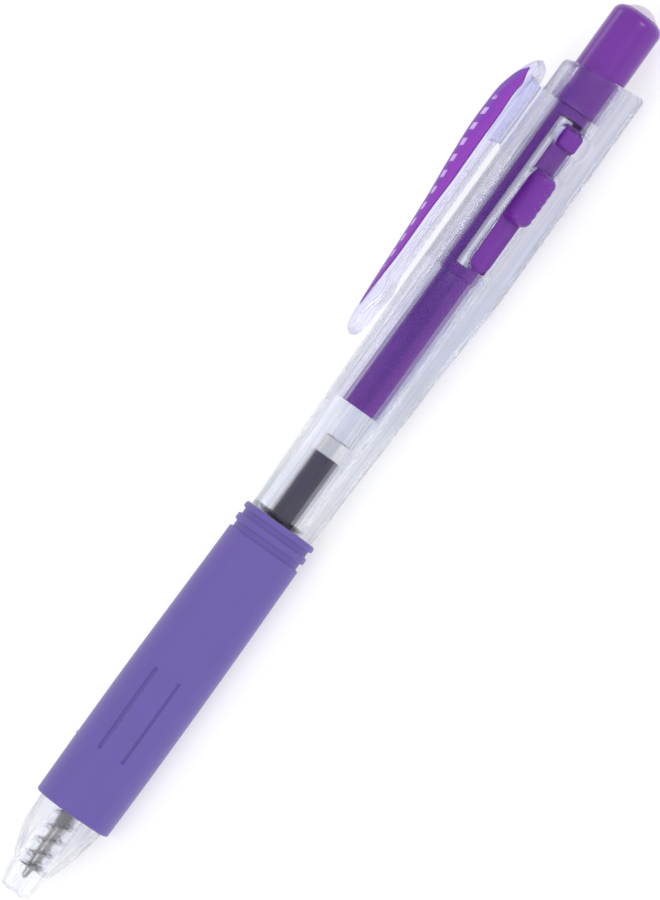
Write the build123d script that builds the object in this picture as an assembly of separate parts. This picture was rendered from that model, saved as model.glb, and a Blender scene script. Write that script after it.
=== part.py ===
from build123d import *
import os

# A retractable gel pen lying on its side, in millimetres.
# X runs along the pen towards the press knob, +Z is up, and z = 0 is the table.
# Shapes are drawn with the pen's axis on the X axis and x measured from the nose end,
# then place() puts them in the part's own frame.

# --- overall ---
LENGTH = 142.0              # nose end to the top of the dome
AXIS_HEIGHT = 5.34          # the axis above the table: the grip rests on its lowest face
AXIS_SHIFT = -1.24          # the clip sticks out to +Y, so the axis lies to the other side
FIT = 0.05                  # radial clearance of a running fit

# --- directions round the axis, in degrees from +Y towards +Z ---
WINDOW_SIDE = 150.0         # the face with the two windows
CLIP_SIDE = 50.0            # the way the clip faces
CLIP_FACE = 30.0            # the barrel face that the clip stands on
FACE_TURN = -30.0           # turns a triangle so that one face looks straight down

# --- barrel: (x, face distance, corner radius) of its rounded triangle sections ---
BARREL_START = 59.5
BARREL_TOP = 131.3
HOUSING_START = 100.0       # the section stays the same from here to the top
TOP_SLANT = -8.0            # the top face slopes down towards the clip
BARREL_SECTIONS = [
    (BARREL_START, 4.23, 3.20),
    (72.0, 4.60, 3.50),
    (85.0, 4.86, 3.60),
    (HOUSING_START, 4.94, 3.00),
]
BORE_LOW_R = 3.55           # bore beside the ink
BORE_R = 3.75               # bore round the plunger
BORE_STEP = (74.0, 77.0)    # the bore widens between these
SPIGOT_END = 48.0           # the spigot that the front section screws onto
SPIGOT_R = 3.35
SPIGOT_BORE_R = 2.70
BORE_SHOULDER = 0.6         # length of the cone from the spigot's bore to the barrel's

# --- windows in the barrel: x range and half width ---
BIG_WINDOW = (100.95, 116.80)
BIG_WINDOW_LOW_HALF = 2.15
BIG_WINDOW_HIGH_HALF = 2.35
BIG_WINDOW_WIDENS = 107.6
SMALL_WINDOW = (120.30, 123.30)
SMALL_WINDOW_SIDES = (-3.2, 2.5)
SCOOP_SIDES = (-3.7, 2.5)
SCOOP_FLOOR = 4.35

# --- plunger and its release button ---
PLUNGER_R = 3.62            # the knob
SLEEVE_R = 3.05
PLUNGER_BORE_R = 2.45
PLUNGER_LOW_R = 2.75
PLUNGER_LOW_BORE_R = 2.15
PLUNGER_END = 77.5
PLUNGER_STEP = 99.2
KNOB_START = 125.6          # the sleeve widens to the knob here
KNOB_TOP = 140.9
KNOB_SHOULDER = 1.4
REFILL_STOP = 99.6          # the web that pushes the refill
TONGUE = (100.75, 123.60)
TONGUE_HALF = 1.80
TONGUE_BORE_R = 2.95
TONGUE_SLOT = 0.75
BACK_SLOT_HALF = 1.5        # the sleeve is cut through behind the tongue as well
PAD = (108.8, 116.7)
PAD_HALF = 1.85
PAD_TOP = 6.15
NUB = (120.45, 123.15)
NUB_HALF = 1.55
NUB_TOP = 4.42
NUB_GROOVE = 4.52           # the nub runs in a groove under the bridge between the windows
DOME_R = 2.35

# --- clip: side profile as (x, distance from the axis) ---
CLIP_OUTER = [(84.8, 7.3), (87.5, 8.3), (97.4, 8.95), (104.8, 9.45), (111.3, 10.1),
              (117.0, 10.45), (121.5, 10.35), (125.5, 9.4), (128.4, 7.7)]
CLIP_INNER = [(128.4, 7.7), (127.2, 6.45), (94.5, 6.45), (91.6, 5.85), (88.8, 6.45), (84.8, 7.3)]
CLIP_HALF = 2.5
CLIP_CROWN = 1.8            # how much lower the outer side is at the clip's edges
CLIP_ARCH = [(83.0, 7.4), (88.0, 8.4), (97.4, 8.97), (104.8, 9.47), (111.3, 10.12), (117.0, 10.47),
             (121.5, 10.37), (125.5, 9.5), (130.0, 7.6)]
CLIP_WEB = (116.3, 125.5)
CLIP_WEB_HALF = 1.0
CLIP_WEB_FOOT = 5.04        # the web stands just off the barrel's face
LEAF = (88.8, 126.6)
LEAF_FAR = [(97.0, 1.2), (107.0, 1.55), (117.0, 1.9), (123.0, 1.3)]
LEAF_NEAR = [(124.0, -1.85), (118.0, -2.15), (110.0, -1.9), (104.0, -1.45), (97.0, -1.1)]
LEAF_TOP_SIDE = -0.9        # the leaf's upper tip lies to the near side
LEAF_DEPTH = 0.35

# --- front section ---
NOSE_BASE = 12.8
NOSE_PROFILE = [(0.0, 1.75), (0.9, 2.35), (4.2, 2.67), (4.2, 2.93), (8.5, 4.25), (12.8, 5.05)]
NOSE_FACE_R = 4.47
NOSE_HOLE_R = 1.10
SPRING_SEAT = 4.0
SPRING_ROOM_R = 1.75
FLANGE_ROOM = (18.0, 20.0)  # the room widens between these for the refill's flange
FLANGE_ROOM_R = 2.30
CORE_R = 4.15
CORE_BORE_R = 2.65
CORE_BORE_START = 30.5
CORE_TOP = 59.2

# --- grip: (x, face distance, corner radius), grooves and ribs ---
GRIP_SECTIONS = [(NOSE_BASE, 5.30, 4.75), (30.0, 5.34, 4.60), (45.0, 5.10, 4.20), (55.5, 4.95, 4.00)]
GRIP_TOP = 59.4
GRIP_NECK = (4.55, 3.70)
GRIP_RIBS = [(56.7, 57.5), (58.6, GRIP_TOP)]
GRIP_GROOVE = (22.0, 35.0)
GRIP_GROOVE_PLACES = [(-1.8, 4.87), (1.8, 5.38)]    # (to the side, floor from the axis)
GRIP_GROOVE_WIDTH = 0.5

# --- refill ---
TUBE = (30.5, 98.8)
TUBE_R = 1.95
TUBE_BORE_R = 1.68
INK_TOP = 70.0
FOLLOWER_TOP = 72.6
HOLDER_START = 10.6
HOLDER_FLANGE = (28.6, TUBE[0])
HOLDER_R = 1.15
FLANGE_R = 2.10
TIP_R = 0.80
TIP_END = 2.3
BALL_R = 0.25

# --- spring ---
SPRING_WIRE = 0.28
SPRING_R = 1.40
SPRING_PITCH = 2.0
SPRING_END = 28.4


def place(shape):
    """Put a shape from the drawing position into the part's own frame."""
    return Pos(-LENGTH / 2, AXIS_SHIFT, AXIS_HEIGHT) * shape


def single(shape):
    """The one solid that a boolean operation left."""
    return shape.solids().sort_by(SortBy.VOLUME)[-1]


def section_plane(x):
    """The plane across the pen at x, with its first axis along +Y and its second along +Z."""
    return Plane(origin=(x, 0, 0), x_dir=(0, 1, 0), z_dir=(1, 0, 0))


def rounded_triangle(x, face_distance, corner_radius):
    """A section with three flat faces and rounded corners."""
    triangle = RegularPolygon(face_distance, 3, major_radius=False, rotation=FACE_TURN)
    return section_plane(x) * fillet(triangle.vertices(), corner_radius)


def rod(start, end, radius):
    """A cylinder on the pen's axis."""
    return extrude(section_plane(start) * Circle(radius), end - start)


def turned(points):
    """A solid turned about the pen's axis from a profile of (x, radius) points."""
    outline = [(points[0][0], 0)] + points + [(points[-1][0], 0)]
    face = Plane.XZ * make_face(Polyline([(x, r) for x, r in outline], close=True))
    return revolve(face, Axis.X)


def block(start, end, side_low, side_high, depth_low, depth_high):
    """A box with x along the pen, y round it and z away from its axis."""
    size = (end - start, side_high - side_low, depth_high - depth_low)
    centre = ((start + end) / 2, (side_low + side_high) / 2, (depth_low + depth_high) / 2)
    return Pos(*centre) * Box(*size)


def facing(direction, shape):
    """Turn a shape drawn with +Z outward so that it faces the given direction."""
    return Rot(X=direction - 90) * shape


def slot_block(start, end, half, depth_low, depth_high, corner):
    """A block with its four upright edges rounded."""
    outline = Pos((start + end) / 2, 0) * RectangleRounded(end - start, 2 * half, corner)
    return Pos(0, 0, depth_low) * extrude(outline, depth_high - depth_low)


def barrel_windows():
    """The openings in the window face: the button's window, its scooped rim and the nub's window."""
    low = slot_block(BIG_WINDOW[0], BIG_WINDOW_WIDENS + 2, BIG_WINDOW_LOW_HALF, 2.6, 9, 1.4)
    high = slot_block(BIG_WINDOW_WIDENS, BIG_WINDOW[1], BIG_WINDOW_HIGH_HALF, 2.6, 9, 0.9)
    side_low, side_high = SMALL_WINDOW_SIDES
    small_width = (side_high - side_low) / 2
    small = Pos(0, (side_low + side_high) / 2) * slot_block(*SMALL_WINDOW, small_width, 2.6, 9, 0.8)
    scoop_low, scoop_high = SCOOP_SIDES
    scoop_half = (scoop_high - scoop_low) / 2
    scoop = slot_block(BIG_WINDOW[0] - 0.5, BIG_WINDOW[1], scoop_half, SCOOP_FLOOR, 9, 2.2)
    scoop = Pos(0, (scoop_low + scoop_high) / 2) * scoop
    groove = block(SMALL_WINDOW[0] - 5, SMALL_WINDOW[1] - 0.5, -NUB_HALF - 0.15, NUB_HALF + 0.15,
                   2.6, NUB_GROOVE)
    return facing(WINDOW_SIDE, low + high + small + scoop + groove)


def barrel_top_cut():
    """Everything above the slanted top face."""
    keep_out = Pos(10, 0, 0) * Box(20, 30, 30)
    tilted = Rot(Y=TOP_SLANT) * keep_out
    return Pos(BARREL_TOP, 0, 0) * facing(CLIP_SIDE, tilted)


def barrel():
    """Clear barrel: a lofted rounded triangle, bored through, with windows and a spigot in front."""
    outer = loft([rounded_triangle(*section) for section in BARREL_SECTIONS])
    outer += extrude(rounded_triangle(*BARREL_SECTIONS[-1]), BARREL_TOP + 3 - HOUSING_START)
    outer -= barrel_top_cut()
    top_edges = outer.faces().sort_by(Axis.X)[-1].edges()
    outer = fillet(top_edges, 0.9)
    spigot = rod(SPIGOT_END, BARREL_START + 1, SPIGOT_R)
    bore = turned([(SPIGOT_END - 1, SPIGOT_BORE_R), (BARREL_START, SPIGOT_BORE_R),
                   (BARREL_START + BORE_SHOULDER, BORE_LOW_R), (BORE_STEP[0], BORE_LOW_R),
                   (BORE_STEP[1], BORE_R), (LENGTH, BORE_R)])
    return outer + spigot - bore - barrel_windows()


def clip_side_face():
    """The clip's side profile in the X-Z plane."""
    outer = Spline(CLIP_OUTER)
    inner = Polyline(CLIP_INNER)
    return make_face([outer, inner])


def clip_outline():
    """The clip seen from outside: straight sides and rounded ends."""
    start, end = CLIP_OUTER[0][0], CLIP_OUTER[-1][0]
    return Pos((start + end) / 2, 0) * RectangleRounded(end - start, 2 * CLIP_HALF, CLIP_HALF - 0.1)


def arched_section(x, top):
    """A section of the clip with an arched outer side."""
    low, edge, half = 4.0, top - CLIP_CROWN, CLIP_HALF + 0.01
    sides = Polyline((-half, edge), (-half, low), (half, low), (half, edge))
    arch = ThreePointArc((half, edge), (0, top), (-half, edge))
    return section_plane(x) * make_face([sides, arch])


def clip_body():
    """The clip's arm: the side profile cut to its rounded outline."""
    side = extrude(Plane.XZ * clip_side_face(), CLIP_HALF + 1, both=True)
    arch = loft([arched_section(x, top) for x, top in CLIP_ARCH])
    return side & arch & extrude(clip_outline(), 20)


def leaf_insert():
    """Purple leaf let into the clip's outer face, pointed at both ends."""
    start, end = LEAF
    upper = Spline([(start, 0)] + LEAF_FAR + [(end, LEAF_TOP_SIDE)])
    lower = Spline([(end, LEAF_TOP_SIDE)] + LEAF_NEAR + [(start, 0)])
    column = extrude(make_face([upper, lower]), 20)
    body = clip_body()
    skin = body - Pos(0, 0, -LEAF_DEPTH) * body
    return single(skin & column & block(start, end, -3, 3, 7.0, 12))


def clip():
    """Clear clip with its root web, and a pocket for the leaf."""
    web = block(*CLIP_WEB, -CLIP_WEB_HALF, CLIP_WEB_HALF, 4, 7.4)
    barrel_face = block(CLIP_WEB[0] - 1, CLIP_WEB[1] + 1, -9, 9, 0, CLIP_WEB_FOOT)
    return facing(CLIP_SIDE, clip_body() + web - leaf_insert()) - facing(CLIP_FACE, barrel_face)


def clip_leaf():
    """The leaf in its place on the clip."""
    return facing(CLIP_SIDE, leaf_insert())


def plunger():
    """Press knob and sleeve in one moulding, with an opening for the release button."""
    knob = fillet(rod(KNOB_START, KNOB_TOP, PLUNGER_R).faces().sort_by(Axis.X)[-1].edges(), KNOB_SHOULDER)
    sleeve = rod(PLUNGER_STEP, KNOB_START + 1, SLEEVE_R) + rod(PLUNGER_END, PLUNGER_STEP + 0.5, PLUNGER_LOW_R)
    body = knob + sleeve
    body -= rod(PLUNGER_END - 1, REFILL_STOP, PLUNGER_LOW_BORE_R)
    body -= rod(REFILL_STOP + 0.9, KNOB_TOP - 2.6, PLUNGER_BORE_R)
    body -= rod(KNOB_TOP - 1.6, KNOB_TOP + 1, DOME_R)
    side = TONGUE_HALF + TONGUE_SLOT
    start, end = TONGUE[0] - 0.15, TONGUE[1] + 0.7
    opening = block(start, end, -side, side, 0.9, 6)
    opening += block(start, end, -BACK_SLOT_HALF, BACK_SLOT_HALF, -6, -0.9)
    return body - facing(WINDOW_SIDE, opening)


def plunger_dome():
    """Pale rounded plug set in the end of the knob."""
    seat = KNOB_TOP - 1.6
    rise = LENGTH - KNOB_TOP
    ball_radius = (DOME_R ** 2 + rise ** 2) / (2 * rise)
    half_way = DOME_R / 2
    shoulder = (LENGTH - ball_radius + (ball_radius ** 2 - half_way ** 2) ** 0.5, half_way)
    sides = Polyline((LENGTH, 0), (seat, 0), (seat, DOME_R), (KNOB_TOP, DOME_R))
    crown = ThreePointArc((KNOB_TOP, DOME_R), shoulder, (LENGTH, 0))
    return revolve(Plane.XZ * make_face([sides, crown]), Axis.X)


def release_button():
    """Springy tongue of the sleeve with the thumb pad and the latching nub on it."""
    ring = rod(*TONGUE, PLUNGER_R) - rod(TONGUE[0] - 1, TONGUE[1] + 1, TONGUE_BORE_R)
    tongue = ring & facing(WINDOW_SIDE, block(*TONGUE, -TONGUE_HALF, TONGUE_HALF, 1, 5))
    pad = slot_block(*PAD, PAD_HALF, 3.1, PAD_TOP, 1.2)
    pad = fillet(pad.faces().sort_by(Axis.Z)[-1].edges(), 0.5)
    nub = slot_block(*NUB, NUB_HALF, 3.1, NUB_TOP, 0.5)
    return single(tongue + facing(WINDOW_SIDE, pad + nub))


def nose():
    """The clear nose: a turned cone whose three flats run out to points."""
    cone = turned(NOSE_PROFILE)
    prism = extrude(rounded_triangle(-1, NOSE_FACE_R, 1.0), NOSE_BASE + 2)
    return cone & prism


def front_barrel():
    """Clear nose and the core that carries the grip, bored for the spring and the refill."""
    core = rod(NOSE_BASE - 0.5, CORE_TOP, CORE_R)
    inside = turned([(-1, NOSE_HOLE_R), (SPRING_SEAT - 0.3, NOSE_HOLE_R), (SPRING_SEAT - 0.3, SPRING_ROOM_R),
                     (FLANGE_ROOM[0], SPRING_ROOM_R), (FLANGE_ROOM[1], FLANGE_ROOM_R),
                     (CORE_BORE_START, FLANGE_ROOM_R), (CORE_BORE_START, CORE_BORE_R),
                     (SPIGOT_END - 0.3, CORE_BORE_R), (SPIGOT_END - 0.3, SPIGOT_R + FIT),
                     (CORE_TOP + 1, SPIGOT_R + FIT)])
    return nose() + core - inside


def grip():
    """Soft grip: a rounded triangle sleeve with lengthwise grooves and two ribs at the top."""
    body = loft([rounded_triangle(*section) for section in GRIP_SECTIONS])
    top = GRIP_SECTIONS[-1]
    body += extrude(rounded_triangle(top[0], *GRIP_NECK), GRIP_TOP - top[0])
    for start, end in GRIP_RIBS:
        body += extrude(rounded_triangle(start, top[1], top[2]), end - start)
    body -= rod(0, LENGTH, CORE_R + 0.01)
    groove = slot_block(*GRIP_GROOVE, GRIP_GROOVE_WIDTH / 2, 0, 4, GRIP_GROOVE_WIDTH / 2 - 0.01)
    for pair in (0, 120, 240):
        for side, floor in GRIP_GROOVE_PLACES:
            body -= facing(pair, Pos(0, side, floor) * groove)
    return body


def refill_tube():
    """Clear ink tube, open at the back."""
    return rod(*TUBE, TUBE_R) - rod(TUBE[0] - 1, TUBE[1] + 1, TUBE_BORE_R)


def ink():
    """The ink column, hollowed a little where it meets the follower."""
    column = rod(TUBE[0] + 2.2, INK_TOP, TUBE_BORE_R - 0.01)
    return column - Pos(INK_TOP + 3.2, 0, 0) * Sphere(3.6)


def ink_follower():
    """Clear grease plug that rides on the ink."""
    column = rod(INK_TOP - 1, FOLLOWER_TOP, TUBE_BORE_R - 0.01)
    return single(column & (Pos(INK_TOP + 3.2, 0, 0) * Sphere(3.58)))


def refill_holder():
    """Tip holder: a plug in the tube, a flange for the spring and a slim snout."""
    body = turned([(HOLDER_START, HOLDER_R - 0.15), (14, HOLDER_R), (HOLDER_FLANGE[0], HOLDER_R),
                   (HOLDER_FLANGE[0], FLANGE_R), (HOLDER_FLANGE[1], FLANGE_R),
                   (HOLDER_FLANGE[1], TUBE_BORE_R), (TUBE[0] + 2.1, TUBE_BORE_R)])
    return body - rod(HOLDER_START - 1, HOLDER_START + 3.2, TIP_R) - rod(HOLDER_START, LENGTH, 0.5)


def refill_tip():
    """Metal writing tip: a straight shank and a cone down to the ball."""
    body = turned([(TIP_END + 0.2, 0.42), (TIP_END + 2.6, TIP_R - 0.05), (HOLDER_START + 3.2, TIP_R)])
    return body - rod(TIP_END + 1.2, HOLDER_START + 4, 0.45) - refill_ball()


def refill_ball():
    """The writing ball."""
    return Pos(TIP_END + BALL_R, 0, 0) * Sphere(BALL_R)


def spring():
    """Return spring: an open coil round the refill's snout."""
    start = SPRING_SEAT + SPRING_WIRE / 2
    height = SPRING_END - SPRING_WIRE / 2 - start
    path = Pos(start, 0, 0) * Rot(Y=90) * Helix(SPRING_PITCH, height, SPRING_R)
    wire = Plane(origin=path @ 0, z_dir=path % 0) * Circle(SPRING_WIRE / 2)
    return sweep(wire, path, is_frenet=True)


SUB_PARTS = {
    "barrel": barrel,
    "clip": clip,
    "clip_leaf": clip_leaf,
    "plunger": plunger,
    "plunger_dome": plunger_dome,
    "release_button": release_button,
    "front_barrel": front_barrel,
    "grip": grip,
    "spring": spring,
    "refill_tube": refill_tube,
    "ink": ink,
    "ink_follower": ink_follower,
    "refill_holder": refill_holder,
    "refill_tip": refill_tip,
    "refill_ball": refill_ball,
}


def main():
    """Write one STEP file for each sub-part."""
    os.makedirs("parts", exist_ok=True)
    for name, make in SUB_PARTS.items():
        export_step(place(make()), f"parts/{name}.step")


main()
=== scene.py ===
"""Looks of a retractable gel pen with a clear three-sided barrel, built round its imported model."""
import bpy
import numpy as np
from math import cos, radians, sin, sqrt
from mathutils import Matrix, Vector


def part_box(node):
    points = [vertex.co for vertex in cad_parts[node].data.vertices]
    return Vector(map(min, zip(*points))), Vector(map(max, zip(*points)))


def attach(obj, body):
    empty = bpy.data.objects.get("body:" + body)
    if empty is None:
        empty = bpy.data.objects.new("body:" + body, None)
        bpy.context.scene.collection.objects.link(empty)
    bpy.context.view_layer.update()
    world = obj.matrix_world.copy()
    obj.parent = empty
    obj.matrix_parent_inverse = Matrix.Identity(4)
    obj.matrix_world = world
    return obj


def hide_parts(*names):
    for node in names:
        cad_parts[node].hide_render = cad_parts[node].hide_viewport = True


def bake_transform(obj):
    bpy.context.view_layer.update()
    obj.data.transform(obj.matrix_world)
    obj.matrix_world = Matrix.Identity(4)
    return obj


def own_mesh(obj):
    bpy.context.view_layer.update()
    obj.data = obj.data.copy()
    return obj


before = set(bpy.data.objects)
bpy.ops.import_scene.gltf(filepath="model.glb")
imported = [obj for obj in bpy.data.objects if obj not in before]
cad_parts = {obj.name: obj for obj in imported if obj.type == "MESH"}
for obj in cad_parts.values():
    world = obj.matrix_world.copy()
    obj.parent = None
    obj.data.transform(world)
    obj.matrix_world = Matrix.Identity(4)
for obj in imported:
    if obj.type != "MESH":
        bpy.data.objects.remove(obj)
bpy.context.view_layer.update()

bl_info = {
    "name": "Gel pen looks",
    "version": (1, 0, 0),
    "blender": (4, 5, 0),
    "location": "3D View > Sidebar > Gel pen",
    "description": "Makes the finished surfaces and materials of a retractable gel pen",
    "category": "Add Mesh",
}

MM = 0.001


def middle(node, axis):
    """Middle of a node's box along one axis, in metres."""
    low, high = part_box(node)
    return (low[axis] + high[axis]) / 2


# The pen's axis runs along X through the middle of the refill tube, and the nose ends at NOSE.
AXIS_Y = middle("refill_tube", 1)
AXIS_Z = middle("refill_tube", 2)
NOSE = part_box("front_barrel")[0][0]

# Directions round the axis, in degrees from +Y towards +Z.
WINDOW_SIDE = 150.0
CLIP_SIDE = 50.0
GRIP_GROOVE_SIDES = (0.0, 120.0, 240.0)


# ------------------------------------------------------------------ numbers and curves

def smooth_step(low, high, x):
    """0 below low, 1 above high, and the cubic 3t^2 - 2t^3 between them."""
    t = np.clip((x - low) / (high - low), 0.0, 1.0)
    return t * t * (3.0 - 2.0 * t)


def curve(points, x):
    """A smooth curve through (x, value) points: a cubic with slopes that don't overshoot."""
    px, py = np.array(points, float).T
    step = np.diff(px)
    slope = np.diff(py) / step
    before, after = slope[:-1], slope[1:]
    total = np.where(before * after > 0, before + after, 1.0)
    inner = np.where(before * after > 0, 2 * before * after / total, 0.0)
    tangent = np.concatenate([[slope[0]], inner, [slope[-1]]])
    i = np.clip(np.searchsorted(px, x) - 1, 0, len(step) - 1)
    t = np.clip((x - px[i]) / step[i], 0.0, 1.0)
    h00 = 2 * t**3 - 3 * t**2 + 1
    h10 = t**3 - 2 * t**2 + t
    h01 = -2 * t**3 + 3 * t**2
    h11 = t**3 - t**2
    ends = h00 * py[i] + h10 * step[i] * tangent[i]
    return ends + h01 * py[i + 1] + h11 * step[i] * tangent[i + 1]


def full_turn(columns):
    """Angles evenly spaced once round, without the last one, which is the first again."""
    return np.linspace(0, 2 * np.pi, columns, endpoint=False)


def stations(spans):
    """Values from (start, end, step) spans, evenly spaced inside each, with no value twice."""
    parts = [np.linspace(a, b, max(2, int(round((b - a) / step)) + 1)) for a, b, step in spans]
    return np.unique(np.round(np.concatenate(parts), 5))


def rounded_box_distance(x, y, box):
    """Signed distance to a rounded rectangle (x0, x1, y0, y1, corner), negative inside."""
    x0, x1, y0, y1, corner = box
    qx = np.abs(x - (x0 + x1) / 2) - (x1 - x0) / 2 + corner
    qy = np.abs(y - (y0 + y1) / 2) - (y1 - y0) / 2 + corner
    outside = np.hypot(np.maximum(qx, 0), np.maximum(qy, 0))
    return outside + np.minimum(np.maximum(qx, qy), 0) - corner


def nearest_box_distance(x, y, boxes):
    """Signed distance to the nearest of several rounded rectangles."""
    return np.minimum.reduce([rounded_box_distance(x, y, box) for box in boxes])


def triangle_radius(angle, face, corner):
    """Distance from the axis to a rounded triangle, at an angle from a face's normal.

    On a flat it is face / cos(angle); on a corner it is the far crossing of the ray with the
    corner's circle, whose centre is 2 (face - corner) from the axis.
    """
    a = np.abs((angle + np.pi / 3) % (2 * np.pi / 3) - np.pi / 3)
    centre = 2 * (face - corner)
    turn = np.pi / 3 - a
    chord = np.sqrt(np.maximum(corner**2 - (centre * np.sin(turn))**2, 0))
    round_part = centre * np.cos(turn) + chord
    flat = np.tan(a) * face <= sqrt(3.0) * (face - corner)
    return np.where(flat, face / np.cos(a), round_part)


def triangle_height(side, face, corner):
    """Height of a rounded triangle over its face's middle plane, at a distance to the side."""
    flat_half = sqrt(3.0) * (face - corner)
    beyond = np.maximum(np.abs(side) - flat_half, 0)
    return face - corner + np.sqrt(np.maximum(corner**2 - beyond**2, 0))


def along(profile, x):
    """Value at x of a profile of (x, value) rows, straight between them."""
    return np.interp(x, *np.array(profile).T)


def quarter_round(nearness):
    """0 at an edge and 1 from a nearness of 1, along a quarter circle: sqrt(1 - (1 - n)^2)."""
    return np.sqrt(np.maximum(1 - (1 - nearness)**2, 0))


def squarish(value, power):
    """A value's size raised to a power, with its sign kept: sgn(v) |v|^p."""
    return np.sign(value) * np.abs(value)**power


def polar(x, radius, angle, face_direction):
    """Points at x along the pen, radius from its axis and angle from face_direction, in mm."""
    turn = radians(face_direction) - angle
    return np.stack([x + 0 * radius, radius * np.cos(turn), radius * np.sin(turn)], -1)


def facing(x, side, height, face_direction):
    """Points at x along the pen, height out in face_direction and side across it, in mm."""
    return polar(x, np.hypot(side, height), np.arctan2(side, height), face_direction)


# ------------------------------------------------------------------ meshes

SLOPE_STEP = 1e-3
SNAP_PASSES = 3


def signed_volume(points, faces):
    """Volume inside closed faces, negative if they face in: a sixth of their triple products."""
    a, b, c, d = (points[faces[:, k]] for k in range(4))
    return ((np.cross(a, b) * c).sum() + (np.cross(a, c) * d).sum()) / 6


def add_mesh(name, points, faces, material, sharp=35.0):
    """A mesh object from points in mm from the nose's end, smooth but for edges over sharp degrees.

    Faces are rows of four point numbers, and a triangle repeats its last one.
    """
    used, faces = np.unique(faces, return_inverse=True)
    faces = faces.reshape(-1, 4)
    points = points.reshape(-1, 3)[used]
    if signed_volume(points, faces) < 0:
        faces = faces[:, [1, 0, 3, 2]]
    placed = points * MM + np.array([NOSE, AXIS_Y, AXIS_Z])
    mesh = bpy.data.meshes.new(name)
    triangles = faces[:, 2] == faces[:, 3]
    loops = np.concatenate([faces[~triangles].ravel(), faces[triangles][:, :3].ravel()])
    sizes = np.concatenate([np.full((~triangles).sum(), 4), np.full(triangles.sum(), 3)])
    mesh.vertices.add(len(placed))
    mesh.vertices.foreach_set("co", placed.ravel())
    mesh.loops.add(len(loops))
    mesh.loops.foreach_set("vertex_index", loops)
    mesh.polygons.add(len(sizes))
    mesh.polygons.foreach_set("loop_start", np.concatenate([[0], np.cumsum(sizes)[:-1]]))
    mesh.update(calc_edges=True)
    mesh.validate()
    mesh.shade_smooth()
    mesh.set_sharp_from_angle(angle=radians(sharp))
    mesh.materials.append(material)
    piece = bpy.data.objects.new(name, mesh)
    bpy.context.scene.collection.objects.link(piece)
    return piece


def grid_faces(rows, columns, first=0, flip=False):
    """Quads of a rows by columns grid whose columns close on themselves."""
    i, j = np.meshgrid(np.arange(rows - 1), np.arange(columns), indexing="ij")
    k = (j + 1) % columns
    low, high = i * columns, (i + 1) * columns
    quads = np.stack([low + j, low + k, high + k, high + j], -1)
    quads = quads[..., ::-1] if flip else quads
    return quads.reshape(-1, 4) + first


def pole_faces(row, centre, flip):
    """Triangles from a closed ring to one centre point, as quads with a repeated corner."""
    following = np.roll(row, -1)
    third = np.full_like(row, centre)
    fan = np.stack([following, row, third, third], -1)
    return fan[:, [1, 0, 2, 3]] if flip else fan


def solid_of_rings(name, rings, material, sharp=35.0):
    """A closed solid from rings (rows, columns, 3), with a pole at the middle of each end."""
    rows, columns, _ = rings.shape
    poles = np.stack([rings[0].mean(0), rings[-1].mean(0)])
    points = np.concatenate([rings.reshape(-1, 3), poles])
    first = np.arange(columns)
    last = first + (rows - 1) * columns
    faces = np.concatenate([
        grid_faces(rows, columns),
        pole_faces(first, rows * columns, False),
        pole_faces(last, rows * columns + 1, True),
    ])
    return add_mesh(name, points, faces, material, sharp)


def wall_faces(a, b, inward, forward):
    """Quads from edges a to b of the outer grid to the inner one, turned round unless forward."""
    wall = np.stack([a, b, b + inward, a + inward], -1)
    return np.where(np.reshape(forward, (-1, 1)), wall, wall[:, ::-1])


def shell(name, outer, inner, material, hole=None, sharp=35.0):
    """A closed wall between an outer and an inner grid, open where hole marks the cells.

    The two end rings are joined, and round the hole a wall joins the outer grid to the inner one.
    """
    rows, columns, _ = outer.shape
    kept = np.ones((rows - 1, columns), bool) if hole is None else ~hole
    inward = rows * columns
    index = np.arange(rows * columns).reshape(rows, columns)
    faces = [grid_faces(rows, columns)[kept.ravel()]]
    faces.append(grid_faces(rows, columns, inward, True)[kept.ravel()])
    following = np.roll(index, -1, axis=1)
    faces.append(wall_faces(index[0], following[0], inward, False))
    faces.append(wall_faces(index[-1], following[-1], inward, True))
    if hole is not None:
        i, j = np.nonzero(kept[:-1] != kept[1:])
        faces.append(wall_faces(index[i + 1, j], following[i + 1, j], inward, kept[i, j]))
        i, j = np.nonzero(kept != np.roll(kept, 1, axis=1))
        faces.append(wall_faces(index[i, j], index[i + 1, j], inward, kept[i, j]))
    points = np.concatenate([outer.reshape(-1, 3), inner.reshape(-1, 3)])
    return add_mesh(name, points, np.concatenate(faces)[:, ::-1], material, sharp)


def snap_to_outline(x, u, distance, hole):
    """Move the grid points on the hole's edge onto the outline where distance is zero.

    An edge point has both open and closed cells round it. Each pass is a Newton step: the point
    moves against the distance's slope by the distance over the slope's square.
    """
    kept = ~hole
    around = [np.roll(kept, shift, axis=1) for shift in (0, 1)]
    cells = np.stack([np.pad(cell, (ends, (0, 0)), mode="edge")
                      for ends in ((1, 0), (0, 1)) for cell in around])
    edge = cells.any(0) & ~cells.all(0)
    step = SLOPE_STEP
    for _ in range(SNAP_PASSES):
        value = distance(x, u)
        slope_x = (distance(x + step, u) - distance(x - step, u)) / (2 * step)
        slope_u = (distance(x, u + step) - distance(x, u - step)) / (2 * step)
        length = slope_x**2 + slope_u**2 + 1e-9
        x = np.where(edge, x - value * slope_x / length, x)
        u = np.where(edge, u - value * slope_u / length, u)
    return x, u


def turned_rings(profile, columns):
    """Rings about the pen's axis at each (x, radius) row of a profile."""
    x, radius = np.array(profile, float).T
    angle = full_turn(columns)
    return polar(x[:, None] + 0 * angle, radius[:, None] + 0 * angle, angle, 90.0)


def lathe(name, profile, material, columns=96, sharp=35.0):
    """A solid turned about the pen's axis from a profile of (x, radius) rows."""
    return solid_of_rings(name, turned_rings(profile, columns), material, sharp)


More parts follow.
